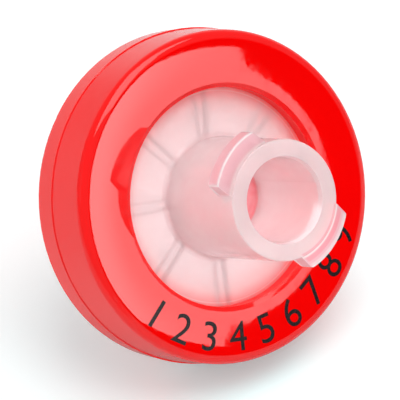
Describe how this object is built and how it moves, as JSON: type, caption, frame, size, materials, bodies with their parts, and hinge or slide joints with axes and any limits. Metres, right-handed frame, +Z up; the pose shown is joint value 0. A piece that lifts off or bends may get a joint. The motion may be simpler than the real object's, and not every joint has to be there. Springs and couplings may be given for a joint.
{
  "type": "syringe filter",
  "caption": "Round membrane filter with a female luer-lock hub, a luer-slip nozzle and a ring moulded over the rims of both housing halves.",
  "frame": {"origin": "on the table, under the middle of the filter as it rests on the ring's edge and the nozzle's tip", "axes": "+Z up; the filter's axis lies in the YZ plane and rises towards the inlet, which points to -Y; the nozzle points to +Y"},
  "size_m": [0.0172, 0.0195, 0.0164],
  "materials": {
    "ring": "glossy red polypropylene, slightly translucent",
    "inlet": "natural polypropylene, translucent, smooth",
    "outlet": "natural polypropylene, translucent, smooth",
    "membrane": "white porous sheet, matt"
  },
  "bodies": {
    "root": {"overmould_ring": "ring", "inlet_housing": "inlet", "outlet_housing": "outlet", "membrane": "membrane"}
  },
  "joints": []
}
